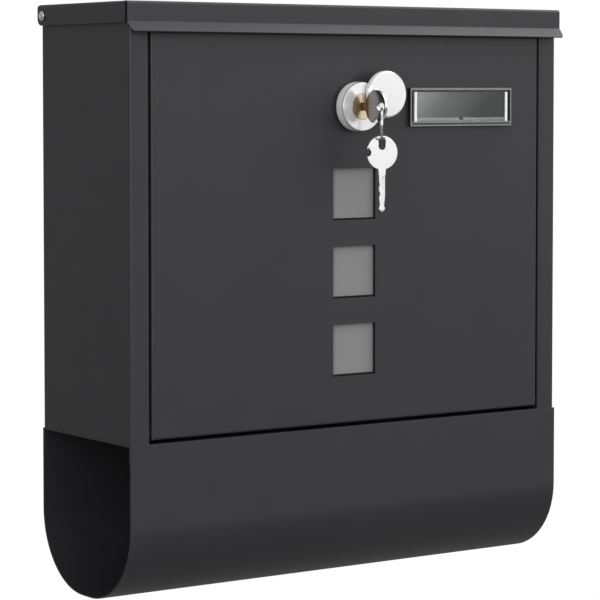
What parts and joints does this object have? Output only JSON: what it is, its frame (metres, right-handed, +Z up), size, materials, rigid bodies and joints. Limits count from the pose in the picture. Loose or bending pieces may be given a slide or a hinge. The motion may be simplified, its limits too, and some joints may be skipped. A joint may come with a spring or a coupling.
{
  "type": "wall mounted mailbox",
  "caption": "Wall mounted steel mailbox with a lift-up lid, a locking drop-down front door with windows, keys in its lock, and an open newspaper holder below.",
  "frame": {"origin": "centre of the four wall screw holes, on the wall plane", "axes": "+Z up, -Y is the way the door faces, +X to the right of someone facing the door, +Y into the wall"},
  "size_m": [0.3096, 0.1351, 0.3328],
  "materials": {
    "powder_coat": "fine satin-matt anthracite powder coat",
    "zinc_fixings": "bright zinc plate",
    "seal_rubber": "matt",
    "window_plastic": "frosted acrylic",
    "clear_plastic": "clear moulded plastic",
    "frame_plastic": "smoky moulded plastic with polished edges",
    "card": "plain grey card",
    "lock_chrome": "polished",
    "lock_brass": "machined",
    "key_nickel": "nickel plate, lightly worn"
  },
  "bodies": {
    "housing": {"left_side_panel": "powder_coat", "right_side_panel": "powder_coat", "back_panel": "powder_coat", "bottom_panel": "powder_coat", "top_rail": "powder_coat", "newspaper_holder": "powder_coat", "lid_hinge_screws": "zinc_fixings", "lid_hinge_washers": "zinc_fixings", "lid_hinge_nuts": "zinc_fixings", "door_hinge_pins": "powder_coat"},
    "lid": {"lid": "powder_coat"},
    "door": {"door_panel": "powder_coat", "window_seal": "seal_rubber", "window_pane": "window_plastic", "pane_retainer": "powder_coat", "pane_studs": "zinc_fixings", "pane_nuts": "zinc_fixings", "nameplate_frame": "frame_plastic", "name_card": "card", "nameplate_cover": "clear_plastic", "nameplate_clips": "zinc_fixings", "lock_housing": "lock_chrome", "lock_nut": "zinc_fixings", "cap_rivet": "lock_chrome"},
    "plug": {"lock_plug": "lock_brass", "lock_wafers": "lock_brass", "lock_cam": "zinc_fixings", "cam_washer": "zinc_fixings", "cam_screw": "zinc_fixings"},
    "key": {"key_in_lock": "key_nickel"},
    "ring": {"key_ring": "key_nickel"},
    "spare_key": {"spare_key": "key_nickel"},
    "lock_cap": {"lock_cap": "lock_chrome"}
  },
  "joints": [
    {"name": "lid_hinge", "type": "hinge", "parent": "housing", "child": "lid", "pos_m": [0, -0.0092, 0.116], "axis": [-1, 0, 0], "range_deg": [0, 85]},
    {"name": "door_hinge", "type": "hinge", "parent": "housing", "child": "door", "pos_m": [0, -0.097, -0.1136], "axis": [1, 0, 0], "range_deg": [0, 105]},
    {"name": "plug_turn", "type": "hinge", "parent": "door", "child": "plug", "pos_m": [0, -0.109, 0.0645], "axis": [0, 1, 0], "range_deg": [0, 90]},
    {"name": "key_slide", "type": "slide", "parent": "plug", "child": "key", "axis": [0, -1, 0], "range_m": [0, 0.022]},
    {"name": "ring_swing", "type": "hinge", "parent": "key", "child": "ring", "pos_m": [0, -0.1269, 0.0645], "axis": [1, 0, 0], "range_deg": [-20, 20]},
    {"name": "spare_key_swing", "type": "hinge", "parent": "ring", "child": "spare_key", "pos_m": [0, -0.1269, 0.04545], "axis": [0, 1, 0], "range_deg": [-30, 30]},
    {"name": "cap_swivel", "type": "hinge", "parent": "door", "child": "lock_cap", "pos_m": [0.0057, -0.1095, 0.0721], "axis": [0, -1, 0], "range_deg": [-14, 105]}
  ]
}
